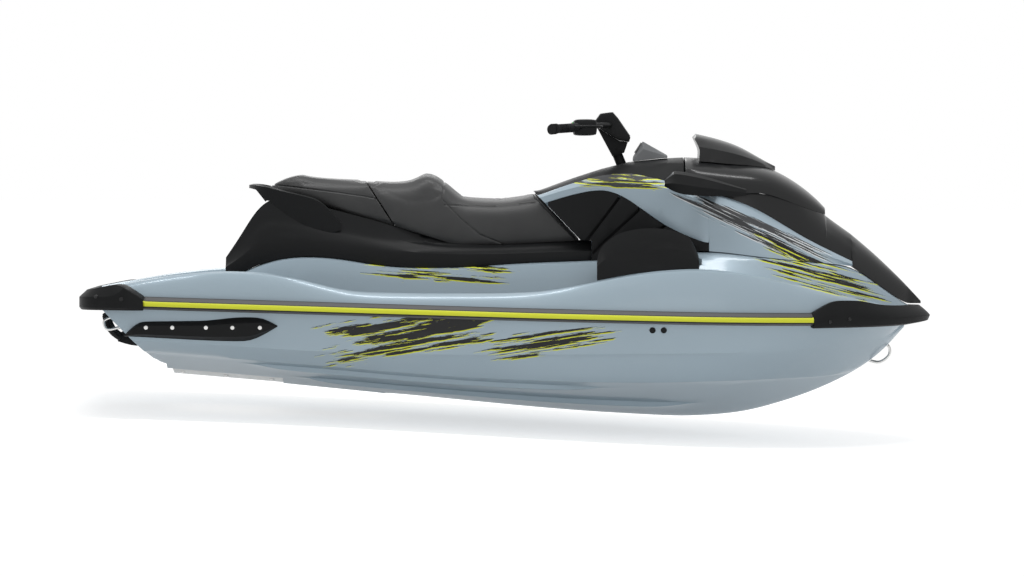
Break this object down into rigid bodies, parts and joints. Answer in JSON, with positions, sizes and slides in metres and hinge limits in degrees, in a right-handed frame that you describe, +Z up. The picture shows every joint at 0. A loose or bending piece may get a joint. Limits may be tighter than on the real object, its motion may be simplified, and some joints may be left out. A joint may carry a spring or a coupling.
{
  "type": "personal watercraft",
  "caption": "Two-seat jet-driven personal watercraft with a stepped seat, handlebar steering, hinged front hood, reverse bucket and boarding step.",
  "frame": {"origin": "on the centreline amidships, at the still waterline", "axes": "+X towards the bow, +Y to port, +Z up"},
  "size_m": [3.3507, 1.2276, 1.2056],
  "materials": {
    "gelcoat": "metallic grey-blue gelcoat, clear coated",
    "black_plastic": "moulded black plastic, fine grain",
    "gloss_black": "gloss black panel",
    "rubber": "moulded rubber",
    "vinyl": "grained seat vinyl",
    "mat": "foam mat with a moulded tread",
    "rail_grey": "dark grey extrusion with a yellow stripe",
    "alloy": "cast alloy",
    "steel": "stainless steel",
    "glass": "dark instrument glass",
    "engine": "plain block that stands for the engine"
  },
  "bodies": {
    "craft": {"hull": "gelcoat", "deck": "gelcoat", "cowl": "gelcoat", "seat_base": "black_plastic", "seat_front": "vinyl", "rub_rail_left": "rail_grey", "rub_rail_right": "rail_grey", "bow_bumper": "black_plastic", "stern_bumper": "black_plastic", "sponson_left": "black_plastic", "sponson_right": "black_plastic", "ride_plate": "alloy", "intake_grate": "steel", "pump_housing": "alloy", "knee_panel_left": "black_plastic", "knee_panel_right": "black_plastic", "footwell_pod_left": "black_plastic", "footwell_pod_right": "black_plastic", "console": "black_plastic", "gauge_hood": "black_plastic", "display": "glass", "hood_lower": "gloss_black", "grab_handle": "black_plastic", "footwell_mat_left": "mat", "footwell_mat_right": "mat", "rear_mat": "mat", "bow_eye": "steel", "stern_eye_left": "steel", "stern_eye_right": "steel", "tow_hook": "steel", "step_bracket": "black_plastic", "engine": "engine"},
    "steering_head": {"steering_column": "black_plastic", "handlebar": "black_plastic", "handlebar_pad": "black_plastic", "grip_left": "rubber", "grip_right": "rubber", "control_left": "black_plastic", "control_right": "black_plastic", "throttle_lever": "black_plastic", "reverse_lever": "black_plastic"},
    "upper_hood": {"hood_upper": "gloss_black", "windscreen": "gloss_black", "mirror_left": "black_plastic", "mirror_right": "black_plastic"},
    "lid": {"glovebox_lid": "black_plastic"},
    "rear_seat": {"seat_rear": "vinyl"},
    "impeller_shaft": {"impeller": "steel"},
    "trim": {"trim_ring": "alloy"},
    "nozzle": {"steering_nozzle": "alloy"},
    "bucket": {"reverse_bucket": "alloy"},
    "step": {"boarding_step": "steel"}
  },
  "joints": [
    {"name": "steering", "type": "hinge", "parent": "craft", "child": "steering_head", "pos_m": [0.45, 0, 0.732], "axis": [-0.3746, 0, 0.9272], "range_deg": [-25, 25]},
    {"name": "nozzle_trim", "type": "hinge", "parent": "craft", "child": "trim", "pos_m": [-1.262, 0, 0.005], "axis": [0, 1, 0], "range_deg": [-8, 8]},
    {"name": "nozzle_yaw", "type": "hinge", "parent": "trim", "child": "nozzle", "pos_m": [-1.262, 0, 0.005], "axis": [0, 0, 1], "range_deg": [-22, 22]},
    {"name": "reverse", "type": "hinge", "parent": "craft", "child": "bucket", "pos_m": [-1.262, 0, 0.005], "axis": [0, -1, 0], "range_deg": [0, 88]},
    {"name": "impeller_spin", "type": "hinge", "parent": "craft", "child": "impeller_shaft", "pos_m": [-1, 0, 0.005], "axis": [1, 0, 0], "continuous": true},
    {"name": "hood_hinge", "type": "hinge", "parent": "craft", "child": "upper_hood", "pos_m": [1.262, 0, 0.522], "axis": [0, 1, 0], "range_deg": [0, 60]},
    {"name": "glovebox_hinge", "type": "hinge", "parent": "craft", "child": "lid", "pos_m": [0.375, 0, 0.71038], "axis": [0, 1, 0], "range_deg": [0, 60]},
    {"name": "step_hinge", "type": "hinge", "parent": "craft", "child": "step", "pos_m": [-1.513, -0.32, 0.05], "axis": [0, -1, 0], "range_deg": [0, 125]},
    {"name": "seat_lift", "type": "slide", "parent": "craft", "child": "rear_seat", "axis": [-0.5418, 0, 0.8405], "range_m": [0, 0.3]}
  ],
  "couplings": [
    {"joint": "nozzle_yaw", "follows": "steering", "ratio": -0.88}
  ]
}
